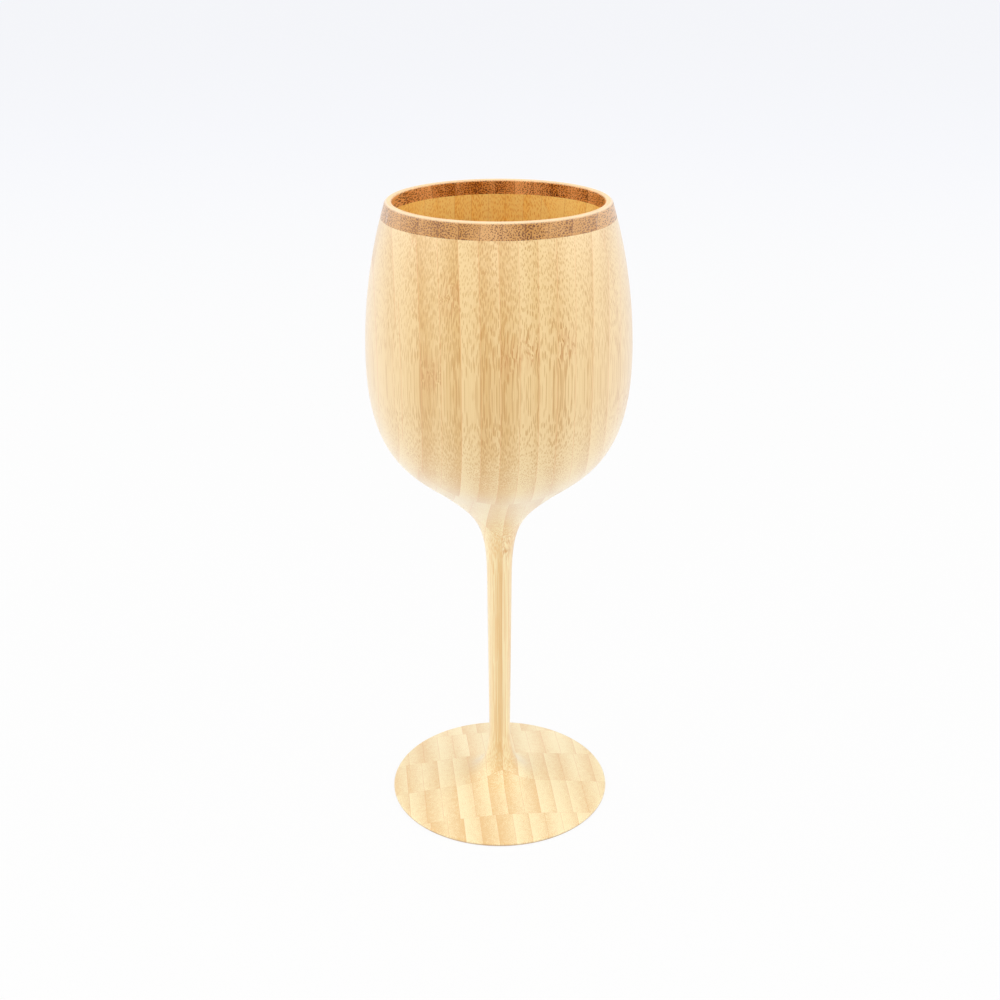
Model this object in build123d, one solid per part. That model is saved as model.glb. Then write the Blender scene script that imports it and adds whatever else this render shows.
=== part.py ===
from build123d import *
from bisect import bisect
import math
import os

# A stemmed goblet, turned on a lathe from one block of glued bamboo boards.
# The block is five boards deep. Turning cuts four of them in two: a part of the bowl above and
# a part of the foot below. The middle board, glued up from two halves, stays whole and makes
# the stem. A ring of darker, heat-treated bamboo strips, which lie flat, is glued on top to
# make the rim.
# Millimetres, +Z up, the origin is under the middle of the foot.

# Foot, a shallow cone that sweeps up into the stem
foot_diameter = 72.6
foot_edge = 1.25
foot_chamfer = 0.5
foot_slope = 6.9
foot_cone_diameter = 27.0
foot_sweep = 7.0
foot_rise = 24.3
foot_lift = 14.5

# Stem, a slim taper that widens a little towards the bowl
stem_foot_diameter = 7.0
stem_bowl_diameter = 7.94
stem_length = 51.9

# Bowl outside: the neck flares to the shoulder, and the wall turns up to the belly
neck_rise = 33.45
neck_lift = 20.7
neck_flare = 15.2
shoulder_diameter = 35.8
shoulder_angle = 40.4
shoulder_flare = 13.3
belly_drop = 30.9
belly_rise = 43.5
belly_diameter = 80.2
belly_lift = 16.0
mouth_drop = 11.9
mouth_rise = 42.15
mouth_diameter = 68.45
mouth_lean = 16.2

# Bowl inside
wall = 2.2
inside_drop = 29.0
floor_sweep = 9.0
floor_diameter = 26.0
floor_above_shoulder = 3.0

# Rim ring
rim_height = 4.7
lip_chamfer = 0.6

# Lay-up of the block
board_thickness = 16.9
board_shift = 2.35
block_angle = 6.3
stem_seam = 0.4

# Lay-up of the rim ring, from a glued blank a little wider than the mouth
rim_angle = -8.8
rim_strips = 12
rim_spare = 2.95
rim_seam_shift = 0.15

# What follows from the sizes above
board_names = ("front", "near", "middle", "far", "back")
stem_top = foot_rise + stem_length
stem_middle = foot_rise + stem_length / 2
shoulder_height = stem_top + neck_rise
belly_height = shoulder_height + belly_rise
joint_height = belly_height + mouth_rise
height = joint_height + rim_height
foot_radius = foot_diameter / 2
belly_radius = belly_diameter / 2
mouth_radius = mouth_diameter / 2
block_half = foot_diameter + belly_diameter
rim_strip_width = (mouth_diameter + rim_spare) / rim_strips

UP = Vector(0, 0, 1)
OUT = Vector(1, 0, 0)


def at(radius, rise):
    """A point of the turned outline."""
    return OUT * radius + UP * rise


def heading(angle):
    """A direction in the outline's plane, in degrees from outward to upward."""
    return at(math.cos(math.radians(angle)), math.sin(math.radians(angle)))


def sweep(start, start_pull, end, end_pull):
    """A smooth curve that leaves one point and arrives at another along the given pulls."""
    return Bezier(start, start + start_pull, end - end_pull, end)


mouth_heading = heading(90 + mouth_lean)
joint_outside = at(mouth_radius, joint_height)
joint_inside = at(mouth_radius - wall, joint_height)


def goblet():
    """Foot, stem and bowl as one turned body, up to the glue joint under the rim."""
    foot_fall = math.tan(math.radians(foot_slope))
    cone_radius = foot_cone_diameter / 2
    edge_low = at(foot_radius, 0)
    edge_high = at(foot_radius, foot_edge - foot_chamfer)
    edge_end = at(foot_radius - foot_chamfer, foot_edge)
    cone_end = edge_end + at(cone_radius - edge_end.X, (edge_end.X - cone_radius) * foot_fall)
    stem_low = at(stem_foot_diameter / 2, foot_rise)
    stem_high = at(stem_bowl_diameter / 2, stem_top)
    shoulder = at(shoulder_diameter / 2, shoulder_height)
    flare = heading(shoulder_angle)
    belly = at(belly_radius, belly_height)
    belly_inside = at(belly_radius - wall, belly_height)
    floor_centre = at(0, shoulder_height + floor_above_shoulder)
    floor_edge = floor_centre + OUT * (floor_diameter / 2)

    outline = [
        Polyline(floor_edge, floor_centre, at(0, 0), edge_low, edge_high, edge_end, cone_end),
        sweep(cone_end, heading(180 - foot_slope) * foot_sweep, stem_low, UP * foot_lift),
        Line(stem_low, stem_high),
        sweep(stem_high, UP * neck_lift, shoulder, flare * neck_flare),
        sweep(shoulder, flare * shoulder_flare, belly, UP * belly_drop),
        sweep(belly, UP * belly_lift, joint_outside, mouth_heading * mouth_drop),
        Line(joint_outside, joint_inside),
        sweep(joint_inside, mouth_heading * -mouth_drop, belly_inside, UP * -belly_lift),
        sweep(belly_inside, UP * -inside_drop, floor_edge, OUT * -floor_sweep),
    ]
    return revolve(make_face(outline), Axis.Z).solid()


def rim_ring():
    """The ring that makes the rim, with an eased lip, standing on the bowl's top edge."""
    lip_rise = mouth_heading * ((rim_height - lip_chamfer) / mouth_heading.Z)
    lip_outside = joint_outside + lip_rise
    lip_inside = joint_inside + lip_rise
    outline = Polyline(
        joint_inside,
        joint_outside,
        lip_outside,
        at(lip_outside.X - lip_chamfer, height),
        at(lip_inside.X + lip_chamfer, height),
        lip_inside,
        close=True,
    )
    return revolve(make_face(outline), Axis.Z).solid()


def seams(count, pitch, shift):
    """Where a row of boards or strips, laid side by side, meet; shift moves the row's middle."""
    return [shift + pitch * (line - count / 2) for line in range(1, count)]


def glue_sheet(across, place, low, high):
    """An upright rectangle, square to X or to Y, between two corners (distance, height)."""
    middle = (low[0] + high[0]) / 2
    rise = (low[1] + high[1]) / 2
    along = Vector(0, 1, 0) if across == Axis.X else OUT
    origin = across.direction * place + along * middle + UP * rise
    sheet = Plane(origin, x_dir=along, z_dir=across.direction)
    return Face.make_rect(high[0] - low[0], high[1] - low[1], sheet)


def cut(body, sheets):
    """The pieces of a body that its glue lines separate."""
    return body.split(Compound(sheets), keep=Keep.ALL)


def block_pieces():
    """Each piece of foot, stem and bowl by node name, before the block is turned to its angle."""
    glue_lines = seams(len(board_names), board_thickness, board_shift)
    axis_board = bisect(glue_lines, 0)
    low_corner, high_corner = (-block_half, -height), (block_half, height)
    board_sheets = [glue_sheet(Axis.Y, line, low_corner, high_corner) for line in glue_lines]
    stem_sheet = glue_sheet(Axis.X, stem_seam, low_corner, high_corner)

    nodes = {}
    for body in cut(goblet(), board_sheets):
        middle = body.center(CenterOf.MASS)
        board = bisect(glue_lines, middle.Y)
        if board == axis_board:
            for half in cut(body, [stem_sheet]):
                side = "left" if half.center(CenterOf.MASS).X < stem_seam else "right"
                nodes[f"stem_{side}_half"] = [half]
        else:
            zone = "foot" if middle.Z < stem_middle else "bowl"
            nodes[f"{zone}_{board_names[board]}_board"] = [body]
    return nodes


def rim_pieces():
    """The pieces of the rim ring by node name, before it is turned to its angle."""
    rim_seams = seams(rim_strips, rim_strip_width, rim_seam_shift)
    low_corner, high_corner = (-block_half, 0), (block_half, 2 * height)
    sheets = [glue_sheet(Axis.X, seam, low_corner, high_corner) for seam in rim_seams]
    nodes = {}
    for piece in cut(rim_ring(), sheets):
        strip = bisect(rim_seams, piece.center(CenterOf.MASS).X) + 1
        nodes.setdefault(f"rim_strip_{strip:02d}", []).append(piece)
    return nodes


def save(nodes, turn):
    """Writes each node, turned to the angle at which its lay-up sits."""
    for name, solids in sorted(nodes.items()):
        export_step(Compound([Rot(Z=turn) * solid for solid in solids]), f"parts/{name}.step")


def main():
    os.makedirs("parts", exist_ok=True)
    save(block_pieces(), block_angle)
    save(rim_pieces(), rim_angle)


main()
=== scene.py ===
"""A stemmed goblet turned from glued bamboo boards, with a darker glued rim ring, on a pale stage."""

import math

import bmesh
import bpy
from bpy.props import FloatProperty, FloatVectorProperty, IntProperty, PointerProperty
from mathutils import Matrix, Vector


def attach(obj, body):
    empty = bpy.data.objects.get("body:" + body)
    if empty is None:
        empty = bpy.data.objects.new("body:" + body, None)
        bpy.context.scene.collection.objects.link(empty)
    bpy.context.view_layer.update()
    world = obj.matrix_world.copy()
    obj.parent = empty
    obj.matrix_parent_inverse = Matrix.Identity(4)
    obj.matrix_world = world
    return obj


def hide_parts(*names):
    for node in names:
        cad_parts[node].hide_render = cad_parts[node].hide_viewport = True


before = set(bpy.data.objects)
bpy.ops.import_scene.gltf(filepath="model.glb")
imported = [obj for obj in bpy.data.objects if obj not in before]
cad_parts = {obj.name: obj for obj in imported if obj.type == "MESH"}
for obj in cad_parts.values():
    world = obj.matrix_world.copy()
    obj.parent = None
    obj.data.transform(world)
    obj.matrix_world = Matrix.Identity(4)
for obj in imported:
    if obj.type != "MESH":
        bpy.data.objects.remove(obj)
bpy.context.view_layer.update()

bl_info = {
    "name": "Bamboo goblet",
    "version": (1, 0, 0),
    "blender": (4, 5, 0),
    "location": "3D View > Sidebar > Goblet",
    "description": "Builds the visible pieces of a laminated bamboo goblet round its packed frame",
    "category": "Object",
}

BODY = "root"
MM = 0.001
# Directions of the frame: to the right, to the back and up
OUT = Vector((1, 0, 0))
DEEP = Vector((0, 1, 0))
UP = Vector((0, 0, 1))

# Pull of a curve that makes a quarter circle, as a share of its radius
ROUND = 0.5523
# Points of a turned form closer than this, in metres, become one
SAME_POINT = 1e-6
# Points closer than this to a cut, in metres, lie on it
ON_CUT = 1e-8
# Faces that meet more sharply than this keep a hard edge
HARD_EDGE = math.radians(38)
# A face whose normal rises more than this counts as level
LEVEL = 0.95

# Boards of the block, from the front to the back
BOARDS = ("front", "near", "middle", "far", "back")
# Strips that are tan among pale ones, by board, counted from the strip right of the middle
TAN_STRIPS = {
    "front": (-5, -4, -2, -1),
    "near": (-5, -1, 0, 1),
    "middle": (-7, -1, 0),
}
# Heights in millimetres of the nodes that show on strips of the front board
FRONT_NODES = {-5: 158.0, -4: 180.0, -1: 164.0, 0: 166.0, 2: 167.0}
# Oil leaves bamboo without a film, so hardly any gloss lies over its colour
OIL = {"Specular IOR Level": 0.15}

# Place and sides of each soft lamp in metres, and the setting that holds its power
LAMPS = {
    "front_lamp": ((-0.1, -1.35, 0.85), (1.2, 1.0), "front_light"),
    "left_lamp": ((-1.25, -0.1, 0.85), (2.0, 1.0), "side_light"),
    "right_lamp": ((1.25, -0.1, 0.85), (2.0, 1.0), "side_light"),
    "top_lamp": ((0.0, 0.1, 1.6), (2.0, 2.0), "top_light"),
}


def length(label, millimetres, description):
    """A size property, given here in millimetres and kept in metres."""
    return FloatProperty(
        name=label, description=description, default=millimetres * MM,
        unit="LENGTH", subtype="DISTANCE", precision=5,
    )


def angle(label, degrees, description):
    """An angle property, given here in degrees."""
    return FloatProperty(
        name=label, description=description, default=math.radians(degrees),
        unit="ROTATION", subtype="ANGLE",
    )


def power(label, watts, description):
    """A lamp's power property."""
    return FloatProperty(name=label, description=description, default=watts, unit="POWER")


def linear(screen):
    """A screen colour value from 0 to 255 as scene light."""
    level = screen / 255
    return level / 12.92 if level <= 0.04045 else ((level + 0.055) / 1.055) ** 2.4


def tint(label, red, green, blue, description):
    """A colour property, given here as a screen colour."""
    colour = (linear(red), linear(green), linear(blue))
    return FloatVectorProperty(
        name=label, description=description, default=colour, min=0.0, max=1.0, subtype="COLOR",
    )


def share(label, value, description):
    """A property from 0, none, to 1, full."""
    return FloatProperty(
        name=label, description=description, default=value, min=0.0, max=1.0, subtype="FACTOR",
    )


class GobletSizes(bpy.types.PropertyGroup):
    """The turned outline, the same as the solids have, with its edges eased."""

    foot_diameter: length("Foot diameter", 72.6, "Across the round foot")
    foot_edge: length("Foot edge", 1.25, "Height of the foot's edge, to the start of its slope")
    foot_easing: length("Foot easing", 0.6, "Rounding at the top of the foot's edge")
    foot_underside_easing: length("Underside easing", 0.45, "Rounding under the foot's edge")
    foot_slope: angle("Foot slope", 6.9, "Slope of the foot's top")
    foot_cone_diameter: length("Foot cone", 27.0, "Where the straight slope ends")
    foot_sweep: length("Foot sweep", 7.0, "How far the slope carries on into the stem's curve")
    foot_rise: length("Foot rise", 24.3, "Height at which the stem's taper starts")
    foot_lift: length("Foot lift", 14.5, "How far the stem's line carries down into the curve")
    stem_foot_diameter: length("Stem at the foot", 7.0, "Thinnest part of the stem")
    stem_bowl_diameter: length("Stem at the bowl", 7.94, "Stem diameter under the bowl")
    stem_length: length("Stem length", 51.9, "Length of the straight taper")
    neck_rise: length("Neck rise", 33.45, "Height of the flare under the bowl")
    neck_lift: length("Neck lift", 20.7, "How far the stem's line carries up into the flare")
    neck_flare: length("Neck flare", 15.2, "How far the shoulder's line reaches down")
    shoulder_diameter: length("Shoulder diameter", 35.8, "Where the flare turns into the bowl")
    shoulder_angle: angle("Shoulder angle", 40.4, "Steepness of the shoulder")
    shoulder_flare: length("Shoulder flare", 13.3, "How far the shoulder's line reaches up")
    belly_drop: length("Belly drop", 30.9, "How far the belly's upright reaches down")
    belly_rise: length("Belly rise", 43.5, "Height from the shoulder to the belly")
    belly_diameter: length("Belly diameter", 80.2, "Widest part of the bowl")
    belly_lift: length("Belly lift", 16.0, "How far the belly's upright reaches up")
    mouth_drop: length("Mouth drop", 11.9, "How far the mouth's lean reaches down")
    mouth_rise: length("Mouth rise", 42.15, "Height from the belly to the rim ring")
    mouth_diameter: length("Mouth diameter", 68.45, "Across the joint under the rim ring")
    mouth_lean: angle("Mouth lean", 16.2, "How far the wall leans in at the mouth")
    wall: length("Wall", 2.2, "Thickness of the bowl's wall")
    inside_drop: length("Inside drop", 29.0, "How far the inside's upright reaches down")
    floor_sweep: length("Floor sweep", 9.0, "How far the inside's floor carries on into its curve")
    floor_diameter: length("Floor diameter", 26.0, "Flat part of the inside's floor")
    floor_above_shoulder: length("Floor height", 3.0, "Height of the inside's floor over the shoulder")
    rim_height: length("Rim height", 4.7, "Height of the rim ring")
    lip_easing: length("Lip easing", 0.9, "Rounding of the lip")
    steps_around: IntProperty(
        name="Steps around", description="Faces round the turned form", default=256, min=24, max=512,
    )
    steps_along: IntProperty(
        name="Steps along", description="Faces along each curve", default=22, min=4, max=64,
    )


class GobletLayUp(bpy.types.PropertyGroup):
    """How the boards and strips are glued up before turning."""

    block_turn: angle("Block angle", 6.3, "Angle at which the boards lie in the goblet")
    board_thickness: length("Board thickness", 16.9, "Thickness of one board")
    board_shift: length("Board shift", 2.35, "How far the middle board lies behind the axis")
    strip_width: length("Strip width", 5.35, "Width of one strip of a board")
    stem_seam: length("Stem seam", 0.4, "Where the two halves of the middle board meet")
    strip_shifts: FloatVectorProperty(
        name="Strip shifts",
        description="Where the strips of each board start, from the front board to the back one",
        default=(0.0015, 0.0005, 0.0004, 0.0016, 0.0004),
        size=5,
        unit="LENGTH",
        subtype="NONE",
    )
    rim_turn: angle("Rim angle", -8.8, "Angle at which the rim's strips lie")
    rim_strip_width: length("Rim strip width", 5.95, "Width of one strip of the rim ring")
    rim_seam_shift: length("Rim seam shift", 0.15, "Where the rim's middle seam lies")
    rim_strips: IntProperty(name="Rim strips", description="Strips in the rim ring", default=12, min=2)


class GobletFinish(bpy.types.PropertyGroup):
    """Colours of the two kinds of bamboo, lacquered outside and oiled inside, with painted light in some
    of them.
    """

    pale: tint("Pale strips", 226, 194, 133, "Lightest strips of natural bamboo")
    tan: tint("Tan strips", 207, 163, 86, "Darkest strips of natural bamboo")
    bundle: tint("Fibre bundles", 184, 126, 14, "Fibre bundles of natural bamboo")
    # Painted haze: paler colours towards the foot, standing in for the pale glare of light on neck, stem
    # and foot
    pale_hazed: tint("Pale ends", 241, 224, 175, "Lightest strips towards the foot, as painted haze")
    tan_hazed: tint("Tan ends", 219, 177, 110, "Darkest strips towards the foot")
    bundle_hazed: tint("Bundle ends", 223, 175, 106, "Fibre bundles towards the foot")
    # Painted light: the inside colours are brightened well above the outside's to make up for the shade
    # inside the bowl
    inside_pale: tint("Pale inside", 255, 221, 134, "Lightest strips inside the bowl, brightened as painted light")
    inside_tan: tint("Tan inside", 255, 206, 108, "Darkest strips inside the bowl")
    inside_bundle: tint("Inside bundles", 226, 150, 50, "Fibre bundles inside the bowl")
    glue: tint("Glue lines", 214, 146, 74, "Glue lines between natural strips")
    # Painted contact shade, where the foot's edge meets the floor
    painted_edge_shade: tint("Painted edge shade", 150, 104, 62, "Underside of the foot's edge, darkened as painted contact shade")
    node: tint("Node marks", 196, 134, 62, "Marks where the cane had a node")
    toasted: tint("Toasted strips", 205, 154, 92, "Lightest strips of the heat-treated rim")
    toasted_deep: tint("Deep toasted strips", 180, 123, 44, "Darkest strips of the heat-treated rim")
    toasted_bundle: tint("Toasted bundles", 102, 50, 0, "Fibre bundles of the heat-treated rim")
    # Painted light: the rim's inside colours are brighter than the outside's to make up for the shade
    # inside the ring
    rim_inside: tint("Rim inside", 242, 178, 112, "Lightest strips of the rim's inside")
    rim_inside_deep: tint("Deep rim inside", 194, 117, 38, "Darkest strips of the rim's inside")
    rim_inside_bundle: tint("Rim inside bundles", 54, 8, 0, "Fibre bundles of the rim's inside")
    # Painted highlight: the pale lip stands in for the gleam of overhead light on the rounded lip
    lip: tint("Lip", 251, 220, 176, "Top of the rim, a painted highlight")
    toasted_glue: tint("Toasted glue lines", 130, 76, 34, "Glue lines between the rim's strips")
    satin: share("Satin", 0.38, "How dull the lacquer on the natural bamboo is")
    sheen: share("Sheen", 0.5, "How pale the lacquer turns where it is seen at a slant")
    toasted_satin: share("Rim satin", 0.35, "How dull the lacquer on the rim is")


class GobletStage(bpy.types.PropertyGroup):
    """Camera, floor and soft light."""

    camera_place: FloatVectorProperty(
        name="Camera place",
        description="Where the camera stands",
        default=(0.00024, -0.404, 0.27804),
        unit="LENGTH",
        subtype="TRANSLATION",
    )
    camera_pitch: angle("Camera pitch", 66.87, "Camera angle from straight down")
    camera_roll: angle("Camera roll", -0.109, "Camera angle about its line of sight")
    lens: FloatProperty(name="Lens", description="Focal length", default=50.18, unit="CAMERA")
    sensor: FloatProperty(name="Sensor", description="Width of the sensor", default=36.0, unit="CAMERA")
    floor_near: tint("Floor", 253, 253, 253, "Floor round the goblet")
    floor_far: tint("Far floor", 250, 251, 255, "Floor far behind the goblet")
    backdrop: tint("Backdrop", 245, 246, 250, "What is seen beyond the floor")
    sky_light: FloatProperty(name="Room light", description="Even light from all sides", default=0.24)
    front_light: power("Front lamp", 7.8, "Power of the soft lamp in front")
    side_light: power("Side lamps", 13.2, "Power of the soft lamp on each side")
    top_light: power("Top lamp", 12.0, "Power of the soft lamp overhead")


class Growth:
    """How all the bamboo grows. A wave is a width across and a run along the fibres, in millimetres."""

    # Fibres stray a little over a long run, and waver over a short one
    drift = (9.0, 40.0)
    drift_reach = 0.6
    waver = (2.6, 5.5)
    deep_sway = 0.7

    # How far the patterns of two strips can lie apart, so that no two strips look alike
    drift_offset = 513.0
    waver_offset = 80.6
    across_offset = 43.0
    deep_offset = 67.0

    # Bundles are scattered, and reach further where they crowd, on the bark side and in dark strips
    scatter = 0.9
    crowding = (2.2, 30.0)
    crowding_reach = 0.24
    tone_reach = 0.1
    bundle_edge = (-0.03, 0.05)

    # How strongly bundles show: all of them, more in a dense strip, and more at a node
    bundle_base = 0.7
    bundle_dense = 0.3
    bundle_node = 0.4

    # Fine fibres and slow streaks shade a strip round its own tone
    fibres = (1 / 2.7, 45.0)
    streaks = (1.5, 110.0)
    streak_depth = 0.55
    tone_depth = 0.5
    least_depth = 0.16

    # A node fades out from its middle, with smudged fibres and specks in dense strips
    node_fade = (1.0, 0.1)
    smudge_edge = (0.42, 0.7)
    specks = (1.6, 2.4)
    speck_edge = (0.3, 0.14)
    speck_band = (0.55, 0.95)
    speck_dense = (0.35, 0.8)
    speck_share = 0.7

    # Relief under the lacquer: raised fibres, sunken bundles
    fibre_relief = 0.5
    bundle_relief = 0.6


class Natural:
    """What only the pale bamboo of the block has; heights and widths in millimetres."""

    # Keeps this draw of a strip's chances apart from the one that all bamboo has
    draw_shift = (0.5, 9.5)
    grain = {
        "node_height": 8.0, "waver": 0.25, "node_waver": 1.9, "spacing": 0.42, "reach": 0.06,
        "bundle_share": 0.74, "node_share": 0.55, "bark_shade": 0.45, "bark_reach": 0.12,
    }
    # Tone of a strip by chance, with less spread on the front board and on the near board's bowl part
    tone_spread = 0.6
    front_evenness = 0.35
    near_evenness = 0.4
    near_evenness_heights = (40.0, 80.0)
    front_tone = 0.05
    tan_tone = 0.6
    front_tan_extra = 0.2
    # Nodes by chance along a cane, and a height that no strip reaches
    node_lowest = 60.0
    node_range = 300.0
    out_of_sight = 1000.0
    # Painted haze: the colours turn paler between these heights, downwards, standing in for the pale
    # glare of light on the lower goblet
    painted_haze_heights = (150.0, 95.0)
    # Glue lines between strips and between boards, and how much of their colour shows
    strip_glue = 0.11
    board_glue = 0.055
    glue_share = 0.5
    # Painted contact shade: a dark line under the foot's edge
    painted_edge_shade_heights = (0.75, 0.35)
    painted_edge_shade_share = 0.75
    # The lacquer is thinner on the foot and the stem than on the bowl
    low_coat = 0.25
    bowl_coat_extra = 0.5
    coat_heights = (85.0, 135.0)


class Toasted:
    """What only the heat-darkened bamboo of the rim has; heights and widths in millimetres."""

    draw_shift = 3.5
    grain = {
        "node_height": 4.0, "waver": 0.2, "node_waver": 0.4, "spacing": 0.56, "reach": 0.03,
        "bundle_share": 0.95, "node_share": 0.0, "bark_shade": 0.3, "bark_reach": 0.17,
    }
    # Nodes by chance along a cane
    node_nearest = 60.0
    node_range = 400.0
    # Glue lines between strips, and how much of their colour shows
    glue = 0.14
    glue_share = 0.6
    # The painted highlight on the lip starts and is full at these depths under the rim's top
    lip_highlight_start = 0.7
    lip_highlight_full = 0.12
    lip_highlight_share = 0.85


class Field:
    """A socket of a node tree, with arithmetic that adds the Math nodes it needs."""

    def __init__(self, tree, socket=None):
        self.tree = tree
        self.socket = socket

    def node(self, kind, settings=None, inputs=None, output=0):
        """Adds a node with its settings and the values or links of its sockets."""
        made = self.tree.nodes.new(kind)
        for name, value in (settings or {}).items():
            setattr(made, name, value)
        for key, value in (inputs or {}).items():
            if isinstance(value, Field):
                self.tree.links.new(value.socket, made.inputs[key])
            else:
                made.inputs[key].default_value = value
        return Field(self.tree, made.outputs[output])

    def also(self, output):
        """Another output of the same node."""
        return Field(self.tree, self.socket.node.outputs[output])

    def feed(self, socket):
        """Links this value to an input of another node."""
        self.tree.links.new(self.socket, socket)

    def math(self, operation, *values):
        """A Math node with its values or links in order."""
        return self.node("ShaderNodeMath", {"operation": operation}, dict(enumerate(values)))

    def __add__(self, other):
        return self.math("ADD", self, other)

    def __radd__(self, other):
        return self.math("ADD", other, self)

    def __sub__(self, other):
        return self.math("SUBTRACT", self, other)

    def __rsub__(self, other):
        return self.math("SUBTRACT", other, self)

    def __mul__(self, other):
        return self.math("MULTIPLY", self, other)

    def __rmul__(self, other):
        return self.math("MULTIPLY", other, self)

    def __truediv__(self, other):
        return self.math("DIVIDE", self, other)

    def __mod__(self, other):
        return self.math("FLOORED_MODULO", self, other)

    def __abs__(self):
        return self.math("ABSOLUTE", self)

    def whole(self):
        """The whole number at or below this value."""
        return self.math("FLOOR", self)

    def part(self):
        """What is left over the whole number."""
        return self.math("FRACT", self)

    def smaller(self, other):
        """The smaller of two values."""
        return self.math("MINIMUM", self, other)

    def larger(self, other):
        """The larger of two values."""
        return self.math("MAXIMUM", self, other)

    def is_about(self, value):
        """1 where this is the given whole number, and 0 elsewhere."""
        return self.math("COMPARE", self, value, 0.5)

    def between(self, low, high):
        """Rises smoothly from 0 at low to 1 at high, or falls where low is above high."""
        settings = {"interpolation_type": "SMOOTHSTEP"}
        return self.node("ShaderNodeMapRange", settings, {0: self, 1: low, 2: high})

    def replaced(self, here, value):
        """This value, with another one where here is 1."""
        return here * (value - self) + self

    def joined(self, x, y, z):
        """Three values as one vector."""
        return self.node("ShaderNodeCombineXYZ", {}, {0: x, 1: y, 2: z})

    def drawn_out(self, place, wave):
        """A place in a pattern that is drawn out along the fibres."""
        across, deep, along = place
        width, run = wave
        return self.joined(across / width, deep / width, along / run)

    def noise(self, place, wave, detail):
        """Soft noise from 0 to 1, drawn out along the fibres."""
        vector = self.drawn_out(place, wave)
        values = {"Vector": vector, "Scale": 1.0, "Detail": detail, "Roughness": 0.5}
        return self.node("ShaderNodeTexNoise", {}, values)

    def chances(self, number, row):
        """Three values from 0 to 1 that a strip keeps, by its number and its row."""
        flat = {"noise_dimensions": "2D"}
        place = {"Vector": self.joined(number, row, 0.0)}
        colour = self.node("ShaderNodeTexWhiteNoise", flat, place, "Color")
        first = self.node("ShaderNodeSeparateColor", {}, {0: colour})
        return first, first.also(1), first.also(2)

    def blend(self, first, second, amount):
        """One colour turning into another."""
        return self.node("ShaderNodeMix", {"data_type": "RGBA"}, {0: amount, 6: first, 7: second}, 2)


def opaque(colour):
    """A colour property as a socket takes it."""
    return (*colour, 1.0)


def new_material(name):
    """An empty material, its shader and a field to add nodes with."""
    material = bpy.data.materials.new(name)
    material.use_nodes = True
    shader = material.node_tree.nodes["Principled BSDF"]
    return material, shader, Field(material.node_tree)


def cane(field, place, strip, tone, node_place, grain, colours):
    """Colour, relief and bundles of bamboo in strips; place is across, deep and along the fibres."""
    across, deep, along = place
    number, board, strip_part = strip
    pale, tan, bundle, node = colours
    side, start, density = field.chances(number, board)

    # Each strip has a bark side, where the bundles crowd together, and a pith side
    facing = side.math("SIGN", side - 0.5)
    bark = (strip_part - 0.5) * facing + 0.5

    # Fibres run nearly straight, and waver where the cane had a node
    node_off = (along - node_place) / grain["node_height"]
    node_band = abs(node_off).between(*Growth.node_fade)
    waver_place = (across + start * Growth.waver_offset, deep, along)
    drift_place = (across + start * Growth.drift_offset, deep, along)
    waver = field.noise(waver_place, Growth.waver, detail=1.0) - 0.5
    drift = field.noise(drift_place, Growth.drift, detail=1.0) - 0.5
    sway = drift * Growth.drift_reach + waver * (grain["waver"] + node_band * grain["node_waver"])
    here = across + sway + start * Growth.across_offset
    back = deep + sway * Growth.deep_sway + side * Growth.deep_offset
    swayed = (here, back, along)

    # Bundles, seen as dots on end grain and as dashes or long streaks along the grain
    cells = field.joined(here / grain["spacing"], back / grain["spacing"], 0.0)
    nearest = field.node(
        "ShaderNodeTexVoronoi",
        {"voronoi_dimensions": "2D", "feature": "F1"},
        {"Vector": cells, "Scale": 1.0, "Randomness": Growth.scatter},
        "Distance",
    )
    crowding = field.noise(swayed, Growth.crowding, detail=1.0)
    reach = grain["reach"] + Growth.crowding_reach * crowding + grain["bark_reach"] * bark
    reach = reach + Growth.tone_reach * tone
    bundles = (reach - nearest).between(*Growth.bundle_edge)
    shown = Growth.bundle_base + Growth.bundle_dense * density + Growth.bundle_node * node_band
    strength = grain["bundle_share"] * shown

    # Fine fibres and slow streaks between the bundles
    fine = field.noise(swayed, Growth.fibres, detail=3.0)
    slow = field.noise(swayed, Growth.streaks, detail=2.0)
    depth = tone * Growth.tone_depth + (fine - 0.5) + (slow - 0.5) * Growth.streak_depth
    depth = depth + (bark - 0.5) * grain["bark_shade"] + Growth.least_depth
    colour = field.blend(pale, tan, depth.between(0.0, 1.0))
    colour = field.blend(colour, bundle, bundles * strength)

    # A node leaves a darker smudge and a few brown specks
    smudge = node_band * fine.between(*Growth.smudge_edge) * grain["node_share"]
    specks = field.node(
        "ShaderNodeTexVoronoi",
        {"voronoi_dimensions": "3D", "feature": "F1"},
        {"Vector": field.drawn_out(swayed, Growth.specks), "Scale": 1.0},
        "Distance",
    )
    specks = specks.between(*Growth.speck_edge) * node_band.between(*Growth.speck_band)
    specks = specks * density.between(*Growth.speck_dense) * Growth.speck_share
    colour = field.blend(colour, node, smudge.larger(specks))
    relief = fine * Growth.fibre_relief - bundles * Growth.bundle_relief
    return colour, relief, bundles


def seam_line(strips, half_width):
    """A thin line where a count of strips passes a whole number; the width is a share of a strip."""
    core = 0.35
    off = abs((strips + 0.5).part() - 0.5)
    return off.between(half_width, half_width * core)


def lacquer(shader, field, colour, relief, bundles, gloss):
    """A satin lacquer over the fibres, which still show through it as a faint relief."""
    roughness = 0.4
    bundle_roughness = 0.08
    relief_height = {"Strength": 0.12, "Distance": 0.0001, "Height": relief}
    colour.feed(shader.inputs["Base Color"])
    (roughness + bundles * bundle_roughness).feed(shader.inputs["Roughness"])
    field.node("ShaderNodeBump", {}, relief_height, "Normal").feed(shader.inputs["Normal"])
    for name, value in gloss.items():
        shader.inputs[name].default_value = value


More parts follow.
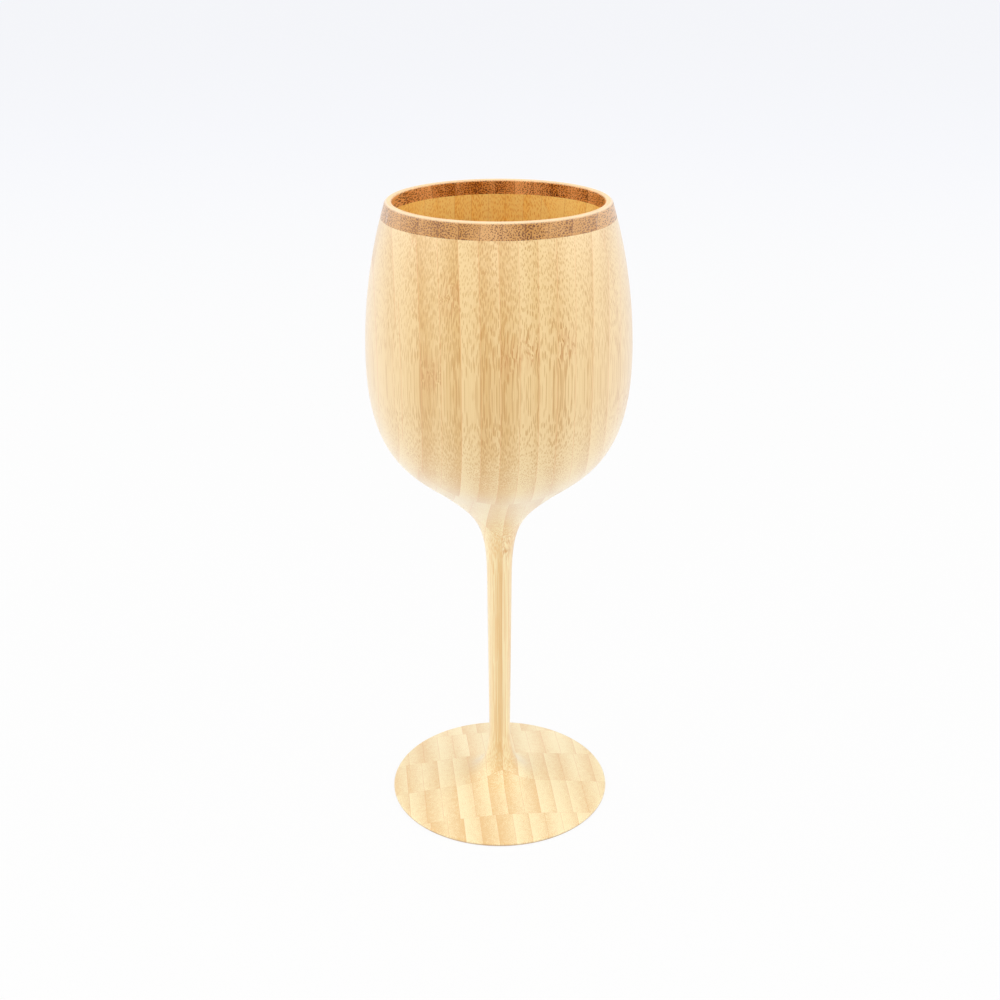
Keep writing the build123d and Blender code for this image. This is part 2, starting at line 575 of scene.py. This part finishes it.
def place_in_lay_up(field, turn):
    """Object coordinates in millimetres, turned to the lay-up, as three values."""
    place = field.node("ShaderNodeTexCoord", {}, {}, "Object")
    to_lay_up = {"Vector": place, "Rotation": (0.0, 0.0, -turn), "Scale": (1 / MM, 1 / MM, 1 / MM)}
    turned = field.node("ShaderNodeMapping", {}, to_lay_up)
    parts = field.node("ShaderNodeSeparateXYZ", {}, {0: turned})
    return parts, parts.also(1), parts.also(2)


def strip_tone(board, strip, up, chance):
    """How dark each strip of the block is, by chance and with the tan strips that the front shows."""
    front = board.is_about(BOARDS.index("front"))
    near = board.is_about(BOARDS.index("near"))
    near_bowl = near * up.between(*Natural.near_evenness_heights)
    spread = Natural.tone_spread - Natural.front_evenness * front - Natural.near_evenness * near_bowl
    tone = chance * spread + Natural.front_tone * front
    tan_tone = Natural.front_tan_extra * front + Natural.tan_tone
    for board_name, tan_strips in TAN_STRIPS.items():
        tan_board = board.is_about(BOARDS.index(board_name))
        for tan_strip in tan_strips:
            tone = tone.replaced(tan_board * strip.is_about(tan_strip), tan_tone)
    return tone


def node_heights(board, strip, chance):
    """Height of each strip's node, by chance and with the nodes that the front shows."""
    front = board.is_about(BOARDS.index("front"))
    place = chance * Natural.node_range + Natural.node_lowest + front * Natural.out_of_sight
    for number, height in FRONT_NODES.items():
        place = place.replaced(front * strip.is_about(number), height)
    return place


def natural_bamboo(scene, name, colours, gloss):
    """Pale bamboo: upright strips, glued into boards that stand one behind the other."""
    lay, finish = scene.goblet_lay_up, scene.goblet_finish
    material, shader, field = new_material(name)
    across, deep, up = place_in_lay_up(field, lay.block_turn)
    pitch, thickness = lay.strip_width / MM, lay.board_thickness / MM

    # Which board and which strip a place lies in; the outer boards are open outwards
    outer = 0.01
    boards = (deep - lay.board_shift / MM) / thickness + len(BOARDS) / 2
    boards = boards.smaller(len(BOARDS) - outer).larger(outer)
    board = boards.whole()
    shift = 0.0
    for number, begin in enumerate(lay.strip_shifts):
        shift = board.is_about(number) * (begin / MM) + shift
    strips = (across - shift) / pitch
    strip = strips.whole()

    # The canes, with painted haze that turns them paler towards the foot
    strip_shift, board_shift = Natural.draw_shift
    node_chance, tone_chance, _ = field.chances(strip + strip_shift, board + board_shift)
    # Mask of the painted haze, full towards the foot
    paler = up.between(*Natural.painted_haze_heights)
    hazed_colours = (finish.pale_hazed, finish.tan_hazed, finish.bundle_hazed)
    shades = [field.blend(opaque(high), opaque(low), paler) for high, low in zip(colours, hazed_colours)]
    colour, relief, bundles = cane(
        field,
        (across, deep, up),
        (strip, board, strips.part()),
        strip_tone(board, strip, up, tone_chance),
        node_heights(board, strip, node_chance),
        Natural.grain,
        (*shades, opaque(finish.node)),
    )

    # Glue lines, and painted contact shade under the foot's edge
    strip_seams = seam_line(strips, Natural.strip_glue / pitch)
    board_seams = seam_line(boards, Natural.board_glue / thickness)
    seams = strip_seams.larger(board_seams)
    colour = field.blend(colour, opaque(finish.glue), seams * Natural.glue_share)
    painted_edge_shade = up.between(*Natural.painted_edge_shade_heights) * Natural.painted_edge_shade_share
    colour = field.blend(colour, opaque(finish.painted_edge_shade), painted_edge_shade)
    lacquer(shader, field, colour, relief, bundles, gloss)

    # Lacquer lies in a film over the wood, and oil doesn't
    if gloss is not OIL:
        coat = Natural.low_coat + Natural.bowl_coat_extra * up.between(*Natural.coat_heights)
        coat.feed(shader.inputs["Coat Weight"])
    return material


def outside_bamboo(scene):
    """The lacquered bamboo of foot, stem and bowl."""
    finish = scene.goblet_finish
    colours = (finish.pale, finish.tan, finish.bundle)
    gloss = {
        "Coat Roughness": finish.satin, "Coat IOR": 1.55,
        "Sheen Weight": finish.sheen, "Sheen Roughness": 0.6,
    }
    return natural_bamboo(scene, "lacquered_bamboo", colours, gloss)


def inside_bamboo(scene):
    """The oiled bamboo inside the bowl, its colours brightened as painted light against the shade
    inside.
    """
    finish = scene.goblet_finish
    colours = (finish.inside_pale, finish.inside_tan, finish.inside_bundle)
    return natural_bamboo(scene, "oiled_bamboo", colours, OIL)


def carbonised_bamboo(scene, name, colours, gloss):
    """Heat-darkened bamboo: strips that lie flat, so that the rim shows their ends all round."""
    size, lay, finish = scene.goblet_sizes, scene.goblet_lay_up, scene.goblet_finish
    material, shader, field = new_material(name)
    across, along, up = place_in_lay_up(field, lay.rim_turn)
    pitch = lay.rim_strip_width / MM
    strips = (across - lay.rim_seam_shift / MM) / pitch
    strip = strips.whole()
    draw = {"W": strip + Toasted.draw_shift}
    tone = field.node("ShaderNodeTexWhiteNoise", {"noise_dimensions": "1D"}, draw, "Value")
    colour, relief, bundles = cane(
        field,
        (across, up, along),
        (strip, 0.0, strips.part()),
        tone,
        tone * Toasted.node_range + Toasted.node_nearest,
        Toasted.grain,
        [opaque(shade) for shade in (*colours, finish.toasted_bundle)],
    )
    seams = seam_line(strips, Toasted.glue / pitch)
    colour = field.blend(colour, opaque(finish.toasted_glue), seams * Toasted.glue_share)
    top = (joint_height(size) + size.rim_height) / MM
    # A painted highlight along the top of the lip
    painted_lip_highlight = up.between(top - Toasted.lip_highlight_start, top - Toasted.lip_highlight_full) * Toasted.lip_highlight_share
    colour = field.blend(colour, opaque(finish.lip), painted_lip_highlight)
    lacquer(shader, field, colour, relief, bundles, gloss)
    return material


def rim_outside(scene):
    """The lacquered outside of the rim."""
    finish = scene.goblet_finish
    colours = (finish.toasted, finish.toasted_deep, finish.toasted_bundle)
    gloss = {
        "Coat Weight": 0.25, "Coat Roughness": finish.toasted_satin, "Coat IOR": 1.5,
        "Sheen Weight": finish.sheen, "Sheen Roughness": 0.5, "Specular IOR Level": 0.3,
    }
    return carbonised_bamboo(scene, "lacquered_toasted_bamboo", colours, gloss)


def rim_inside(scene):
    """The oiled inside of the rim, its colours brightened as painted light against the shade inside the
    ring.
    """
    finish = scene.goblet_finish
    colours = (finish.rim_inside, finish.rim_inside_deep, finish.rim_inside_bundle)
    return carbonised_bamboo(scene, "oiled_toasted_bamboo", colours, OIL)


def material_named(name, maker):
    """A finish, made on its first use."""
    return bpy.data.materials.get(name) or maker(bpy.context.scene)


def at(radius, rise):
    """A point of the turned outline."""
    return OUT * radius + UP * rise


def heading(turn):
    """A direction in the outline's plane, from outward towards upward."""
    return at(math.cos(turn), math.sin(turn))


class Knot:
    """A point of the outline, with the pull of the curve that arrives and of the one that leaves."""

    def __init__(self, place, arriving=None, leaving=None):
        self.place = place
        self.arriving = arriving
        self.leaving = leaving


def stem_top(size):
    """Height at which the stem's taper ends."""
    return size.foot_rise + size.stem_length


def shoulder_height(size):
    """Height at which the neck's flare turns into the bowl."""
    return stem_top(size) + size.neck_rise


def belly_height(size):
    """Height of the bowl's widest part."""
    return shoulder_height(size) + size.belly_rise


def joint_height(size):
    """Height of the glue joint under the rim ring."""
    return belly_height(size) + size.mouth_rise


def mouth_heading(size):
    """Direction of the wall at the mouth."""
    return heading(math.pi / 2 + size.mouth_lean)


def body_outline(size):
    """Knots of foot, stem and bowl, from the middle of the inside's floor to that of the underside."""
    foot = size.foot_diameter / 2
    eased, under = size.foot_easing, size.foot_underside_easing
    downhill = heading(-size.foot_slope)
    edge_top = at(foot - eased, size.foot_edge)
    edge_corner = edge_top + downhill * (eased / downhill.x)
    edge_side = edge_corner - UP * eased
    cone_run = edge_top.x - size.foot_cone_diameter / 2
    cone_end = edge_top - downhill * (cone_run / downhill.x)
    flare = heading(size.shoulder_angle)
    lean = mouth_heading(size)
    mouth = size.mouth_diameter / 2
    belly = size.belly_diameter / 2
    shoulder = at(size.shoulder_diameter / 2, shoulder_height(size))
    floor = shoulder_height(size) + size.floor_above_shoulder
    return [
        Knot(at(0, floor)),
        Knot(at(size.floor_diameter / 2, floor), None, OUT * size.floor_sweep),
        Knot(at(belly - size.wall, belly_height(size)), UP * size.inside_drop, UP * size.belly_lift),
        Knot(at(mouth - size.wall, joint_height(size)), lean * size.mouth_drop, None),
        Knot(at(mouth, joint_height(size)), None, lean * -size.mouth_drop),
        Knot(at(belly, belly_height(size)), UP * -size.belly_lift, UP * -size.belly_drop),
        Knot(shoulder, flare * -size.shoulder_flare, flare * -size.neck_flare),
        Knot(at(size.stem_bowl_diameter / 2, stem_top(size)), UP * -size.neck_lift, None),
        Knot(at(size.stem_foot_diameter / 2, size.foot_rise), None, UP * -size.foot_lift),
        Knot(cone_end, downhill * size.foot_sweep, None),
        Knot(edge_top, None, downhill * (eased * ROUND)),
        Knot(edge_side, UP * (-eased * ROUND), None),
        Knot(at(foot, under), None, UP * (-under * ROUND)),
        Knot(at(foot - under, 0), OUT * (-under * ROUND), None),
        Knot(at(0, 0)),
    ]


def rim_outline(size):
    """Knots of the rim ring with its rounded lip, from the joint's inside edge round to it again."""
    lean = mouth_heading(size)
    outside = at(size.mouth_diameter / 2, joint_height(size))
    inside = outside - OUT * size.wall
    eased = size.lip_easing
    low_rise = lean * ((size.rim_height - eased) / lean.z)
    corner_rise = lean * (size.rim_height / lean.z)
    pull = lean * (eased * ROUND / lean.z)
    flat = OUT * (eased * ROUND)
    return [
        Knot(inside),
        Knot(inside + low_rise, None, pull),
        Knot(inside + corner_rise + OUT * eased, flat, None),
        Knot(outside + corner_rise - OUT * eased, None, flat),
        Knot(outside + low_rise, pull * -1, None),
        Knot(outside),
        Knot(inside),
    ]


def outline_curve(name, knots, steps):
    """A curve through the knots, in the plane of X and Z."""
    data = bpy.data.curves.new(name, "CURVE")
    data.dimensions = "3D"
    data.resolution_u = steps
    spline = data.splines.new("BEZIER")
    spline.bezier_points.add(len(knots) - 1)
    for point, knot in zip(spline.bezier_points, knots):
        point.co = knot.place
        point.handle_left_type = "VECTOR" if knot.arriving is None else "FREE"
        point.handle_right_type = "VECTOR" if knot.leaving is None else "FREE"
        point.handle_left = knot.place - (knot.arriving or Vector())
        point.handle_right = knot.place + (knot.leaving or Vector())
    curve = bpy.data.objects.new(name, data)
    bpy.context.scene.collection.objects.link(curve)
    return curve


def lathe():
    """Geometry nodes that turn an outline round the upright axis, and their inputs' identifiers."""
    tree = bpy.data.node_groups.new("lathe", "GeometryNodeTree")
    sides = tree.interface
    sides.new_socket("Outline", in_out="INPUT", socket_type="NodeSocketGeometry")
    steps = sides.new_socket("Steps around", in_out="INPUT", socket_type="NodeSocketInt")
    finish = sides.new_socket("Finish", in_out="INPUT", socket_type="NodeSocketMaterial")
    sides.new_socket("Turned form", in_out="OUTPUT", socket_type="NodeSocketGeometry")
    field = Field(tree)
    given = field.node("NodeGroupInput", {}, {}, "Outline")
    around = given.also("Steps around")
    points = field.node("GeometryNodeCurveToPoints", {"mode": "EVALUATED"}, {"Curve": given})
    cloud = {"component": "POINTCLOUD"}
    count = field.node("GeometryNodeAttributeDomainSize", cloud, {"Geometry": points})
    sheet = field.node("GeometryNodeMeshGrid", {}, {"Vertices X": around + 1, "Vertices Y": count})
    index = field.node("GeometryNodeInputIndex")
    place = field.node("GeometryNodeInputPosition")
    row = {"Geometry": points, "Value": place, "Index": index % count}
    sampled = field.node("GeometryNodeSampleIndex", {"data_type": "FLOAT_VECTOR"}, row)
    turn = (index / count).whole() * (2 * math.pi) / around
    upright = {"rotation_type": "Z_AXIS"}
    turned = field.node("ShaderNodeVectorRotate", upright, {"Vector": sampled, "Angle": turn})
    form = field.node("GeometryNodeSetPosition", {}, {"Geometry": sheet, "Position": turned})
    form = field.node("GeometryNodeMergeByDistance", {}, {"Geometry": form, "Distance": SAME_POINT})
    form = field.node("GeometryNodeSetShadeSmooth", {}, {"Geometry": form})
    form = field.node("GeometryNodeRealizeInstances", {}, {"Geometry": form})
    surface = given.also("Finish")
    form = field.node("GeometryNodeSetMaterial", {}, {"Geometry": form, "Material": surface})
    end = tree.nodes.new("NodeGroupOutput")
    form.feed(end.inputs["Turned form"])
    return tree, steps.identifier, finish.identifier


def turned_form(name, knots, material):
    """A closed turned form as a plain mesh, with its faces outwards."""
    size = bpy.context.scene.goblet_sizes
    curve = outline_curve(name, knots, size.steps_along)
    tree, steps, finish = lathe()
    turning = curve.modifiers.new("lathe", "NODES")
    turning.node_group = tree
    turning[steps] = size.steps_around
    turning[finish] = material
    graph = bpy.context.evaluated_depsgraph_get()
    form = bpy.data.meshes.new_from_object(curve.evaluated_get(graph), depsgraph=graph)
    bpy.data.objects.remove(curve)
    if not form.polygons:
        raise RuntimeError(f"the outline of {name} gave no faces")
    form.materials.clear()
    form.materials.append(material)
    shape = bmesh.new()
    shape.from_mesh(form)
    bmesh.ops.recalc_face_normals(shape, faces=shape.faces[:])
    for face in shape.faces:
        face.material_index = 0
    shape.to_mesh(form)
    shape.free()
    return form


def carved(form, cuts):
    """The part of a form that lies behind every cut, closed with flat glue faces."""
    shape = bmesh.new()
    shape.from_mesh(form)
    for place, facing in cuts:
        everything = shape.verts[:] + shape.edges[:] + shape.faces[:]
        made = bmesh.ops.bisect_plane(
            shape, geom=everything, dist=ON_CUT, plane_co=place, plane_no=facing, clear_outer=True)
        edges = [piece for piece in made["geom_cut"] if isinstance(piece, bmesh.types.BMEdge)]
        if not edges:
            continue
        for edge in edges:
            edge.smooth = False
        filled = bmesh.ops.triangle_fill(shape, use_beauty=True, edges=edges, normal=facing)
        for face in filled["geom"]:
            if isinstance(face, bmesh.types.BMFace):
                face.smooth = False
    piece = form.copy()
    shape.to_mesh(piece)
    shape.free()
    piece.set_sharp_from_angle(angle=HARD_EDGE)
    return piece


def show(name, mesh, nodes):
    """Puts a finished piece in the scene, in place of its plain solid."""
    if not mesh.polygons:
        raise RuntimeError(f"{name} has no faces")
    mesh.name = name
    piece = bpy.data.objects.new(name, mesh)
    bpy.context.scene.collection.objects.link(piece)
    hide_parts(*nodes)
    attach(piece, BODY)


def glue_lines(count, pitch, shift):
    """Where a row of boards or strips, laid side by side, meet; shift moves the row's middle."""
    return [shift + pitch * (line - count / 2) for line in range(1, count)]


def board_lines(lay):
    """Where the boards meet, in the direction of the block's depth."""
    return glue_lines(len(BOARDS), lay.board_thickness, lay.board_shift)


def slab(lines, number, facing):
    """The two cuts that leave one board or strip, the first and the last being open outwards."""
    cuts = []
    if number > 0:
        cuts.append((facing * lines[number - 1], facing * -1))
    if number < len(lines):
        cuts.append((facing * lines[number], facing))
    return cuts


def turned_direction(direction, turn):
    """A direction turned about the upright axis."""
    return Matrix.Rotation(turn, 3, "Z") @ direction


def finish_and_brighten_inside(form, material, low):
    """Gives the faces that look into the bowl, above a height, a finish of their own, whose colours are
    brightened as painted light.
    """
    form.materials.append(material)
    for face in form.polygons:
        outward = Vector((face.center.x, face.center.y, 0)).dot(face.normal)
        if face.center.z > low and (outward < 0 or face.normal.z > LEVEL):
            face.material_index = 1


def turned_body():
    """Foot, stem and bowl as one mesh, which the operators cut into their pieces."""
    size = bpy.context.scene.goblet_sizes
    found = bpy.data.meshes.get("turned_body")
    if found:
        return found
    material = material_named("lacquered_bamboo", outside_bamboo)
    form = turned_form("turned_body", body_outline(size), material)
    finish_and_brighten_inside(form, material_named("oiled_bamboo", inside_bamboo), shoulder_height(size))
    form.name = "turned_body"
    form.use_fake_user = True
    return form


def show_boards(zone, side):
    """The four boards of the block that turning cut in two, above or below the stem's middle."""
    scene = bpy.context.scene
    size, lay = scene.goblet_sizes, scene.goblet_lay_up
    depth = turned_direction(DEEP, lay.block_turn)
    waist = (UP * (size.foot_rise + size.stem_length / 2), UP * side)
    for number, board in enumerate(BOARDS):
        if board != "middle":
            name = f"{zone}_{board}_board"
            cuts = [*slab(board_lines(lay), number, depth), waist]
            show(f"turned_{name}", carved(turned_body(), cuts), [name])


class GOBLET_OT_foot_boards(bpy.types.Operator):
    """The parts of the boards that make the foot"""

    bl_idname = "goblet.foot_boards"
    bl_label = "Foot boards"

    def execute(self, context):
        show_boards("foot", 1)
        return {"FINISHED"}


class GOBLET_OT_bowl_boards(bpy.types.Operator):
    """The parts of the boards that make the bowl"""

    bl_idname = "goblet.bowl_boards"
    bl_label = "Bowl boards"

    def execute(self, context):
        show_boards("bowl", -1)
        return {"FINISHED"}


class GOBLET_OT_stem_halves(bpy.types.Operator):
    """The two halves of the middle board, which run through foot, stem and bowl"""

    bl_idname = "goblet.stem_halves"
    bl_label = "Stem halves"

    def execute(self, context):
        lay = context.scene.goblet_lay_up
        depth = turned_direction(DEEP, lay.block_turn)
        width = turned_direction(OUT, lay.block_turn)
        board = slab(board_lines(lay), BOARDS.index("middle"), depth)
        for number, side in enumerate(("left", "right")):
            name = f"stem_{side}_half"
            cuts = [*board, *slab([lay.stem_seam], number, width)]
            show(f"turned_{name}", carved(turned_body(), cuts), [name])
        return {"FINISHED"}


class GOBLET_OT_rim_strips(bpy.types.Operator):
    """The strips of the darker ring that makes the rim"""

    bl_idname = "goblet.rim_strips"
    bl_label = "Rim strips"

    def execute(self, context):
        lay = context.scene.goblet_lay_up
        material = material_named("lacquered_toasted_bamboo", rim_outside)
        form = turned_form("turned_rim", rim_outline(context.scene.goblet_sizes), material)
        finish_and_brighten_inside(form, material_named("oiled_toasted_bamboo", rim_inside), 0.0)
        width = turned_direction(OUT, lay.rim_turn)
        lines = glue_lines(lay.rim_strips, lay.rim_strip_width, lay.rim_seam_shift)
        for number in range(lay.rim_strips):
            name = f"rim_strip_{number + 1:02d}"
            mesh = carved(form, slab(lines, number, width))
            show(f"turned_{name}", mesh, [name])
        bpy.data.meshes.remove(form)
        return {"FINISHED"}


def seen_rays(field):
    """1 where the camera looks, also by way of a reflection or a clear piece, and 0 elsewhere."""
    path = field.node("ShaderNodeLightPath", {}, {}, "Is Camera Ray")
    return path.larger(path.also("Is Glossy Ray")).larger(path.also("Is Transmission Ray"))


def floor_material(stage):
    """A pale floor that fades to the backdrop's tone and keeps a soft shadow."""
    fade_start, fade_end = 0.25, 1.6
    shadow_share = 0.07
    whiteness = 0.92
    material, shader, field = new_material("pale_floor")
    place = field.node("ShaderNodeTexCoord", {}, {}, "Object")
    away = field.node("ShaderNodeVectorMath", {"operation": "LENGTH"}, {0: place}, "Value")
    far = away.between(fade_start, fade_end)
    tone = field.blend(opaque(stage.floor_near), opaque(stage.floor_far), far)
    shader.inputs["Base Color"].default_value = opaque((whiteness, whiteness, whiteness))
    shader.inputs["Roughness"].default_value = 0.9
    shader.inputs["Specular IOR Level"].default_value = 0.1
    lit = Field(material.node_tree, shader.outputs["BSDF"])
    glow = field.node("ShaderNodeEmission", {}, {"Color": tone, "Strength": 1.0})
    amount = seen_rays(field) * (1 - shadow_share)
    mixed = field.node("ShaderNodeMixShader", {}, {0: amount, 1: lit, 2: glow})
    mixed.feed(material.node_tree.nodes["Material Output"].inputs["Surface"])
    return material


def show_floor(scene):
    """A wide floor, a hair under the foot so that the two don't coincide."""
    half = 8.0
    drop = -0.00005
    sheet = bpy.data.meshes.new("floor")
    corners = [(-half, -half, drop), (half, -half, drop), (half, half, drop), (-half, half, drop)]
    sheet.from_pydata(corners, [], [(0, 1, 2, 3)])
    sheet.materials.append(floor_material(scene.goblet_stage))
    floor = bpy.data.objects.new("floor", sheet)
    scene.collection.objects.link(floor)


def light_room(scene):
    """Even light from all sides, seen by the camera as the backdrop's tone."""
    stage = scene.goblet_stage
    world = bpy.data.worlds.new("studio")
    world.use_nodes = True
    field = Field(world.node_tree)
    even = field.node("ShaderNodeBackground", {}, {"Color": (1, 1, 1, 1), "Strength": stage.sky_light})
    shown = field.node("ShaderNodeBackground", {}, {"Color": opaque(stage.backdrop), "Strength": 1.0})
    mixed = field.node("ShaderNodeMixShader", {}, {0: seen_rays(field), 1: even, 2: shown})
    mixed.feed(world.node_tree.nodes["World Output"].inputs["Surface"])
    scene.world = world


def show_lamp(scene, name, place, sides, watts):
    """A flat soft lamp that faces the middle of the goblet."""
    target = Vector((0, 0, 0.12))
    data = bpy.data.lights.new(name, "AREA")
    data.shape = "RECTANGLE"
    data.size, data.size_y = sides
    data.energy = watts
    made = bpy.data.objects.new(name, data)
    made.location = place
    made.rotation_euler = (target - Vector(place)).to_track_quat("-Z", "Y").to_euler()
    scene.collection.objects.link(made)


def set_camera(scene):
    """The camera of the photographed view."""
    stage = scene.goblet_stage
    view = bpy.data.cameras.new("camera")
    view.lens = stage.lens
    view.sensor_width = stage.sensor
    camera = bpy.data.objects.new("camera", view)
    turn = Matrix.Rotation(stage.camera_pitch, 4, "X") @ Matrix.Rotation(stage.camera_roll, 4, "Z")
    camera.matrix_world = Matrix.Translation(stage.camera_place) @ turn
    scene.collection.objects.link(camera)
    scene.camera = camera


class GOBLET_OT_stage(bpy.types.Operator):
    """Floor, room light, lamps and camera"""

    bl_idname = "goblet.stage"
    bl_label = "Stage"

    def execute(self, context):
        scene = context.scene
        show_floor(scene)
        light_room(scene)
        for name, (place, sides, setting) in LAMPS.items():
            show_lamp(scene, name, place, sides, getattr(scene.goblet_stage, setting))
        set_camera(scene)
        scene.view_settings.view_transform = "Standard"
        return {"FINISHED"}


class GOBLET_PT_sidebar(bpy.types.Panel):
    """The goblet's pieces, sizes and finishes"""

    bl_idname = "GOBLET_PT_sidebar"
    bl_label = "Bamboo goblet"
    bl_space_type = "VIEW_3D"
    bl_region_type = "UI"
    bl_category = "Goblet"

    def draw(self, context):
        for operator in OPERATORS:
            self.layout.operator(operator.bl_idname)
        for name in GROUPS:
            box = self.layout.box()
            group = getattr(context.scene, name)
            for setting in group.__annotations__:
                box.prop(group, setting)


GROUPS = {
    "goblet_sizes": GobletSizes,
    "goblet_lay_up": GobletLayUp,
    "goblet_finish": GobletFinish,
    "goblet_stage": GobletStage,
}
OPERATORS = (
    GOBLET_OT_foot_boards,
    GOBLET_OT_stem_halves,
    GOBLET_OT_bowl_boards,
    GOBLET_OT_rim_strips,
    GOBLET_OT_stage,
)


def register():
    """Adds the settings, the operators and the sidebar."""
    for name, group in GROUPS.items():
        bpy.utils.register_class(group)
        setattr(bpy.types.Scene, name, PointerProperty(type=group))
    for operator in OPERATORS:
        bpy.utils.register_class(operator)
    bpy.utils.register_class(GOBLET_PT_sidebar)


def unregister():
    """Takes the sidebar, the operators and the settings away again."""
    bpy.utils.unregister_class(GOBLET_PT_sidebar)
    for operator in reversed(OPERATORS):
        bpy.utils.unregister_class(operator)
    for name, group in reversed(GROUPS.items()):
        delattr(bpy.types.Scene, name)
        bpy.utils.unregister_class(group)


def main():
    """Builds the goblet on its stage."""
    register()
    bpy.ops.goblet.foot_boards()
    bpy.ops.goblet.stem_halves()
    bpy.ops.goblet.bowl_boards()
    bpy.ops.goblet.rim_strips()
    bpy.ops.goblet.stage()
    bpy.data.meshes.remove(bpy.data.meshes["turned_body"])


if __name__ == "__main__":
    main()
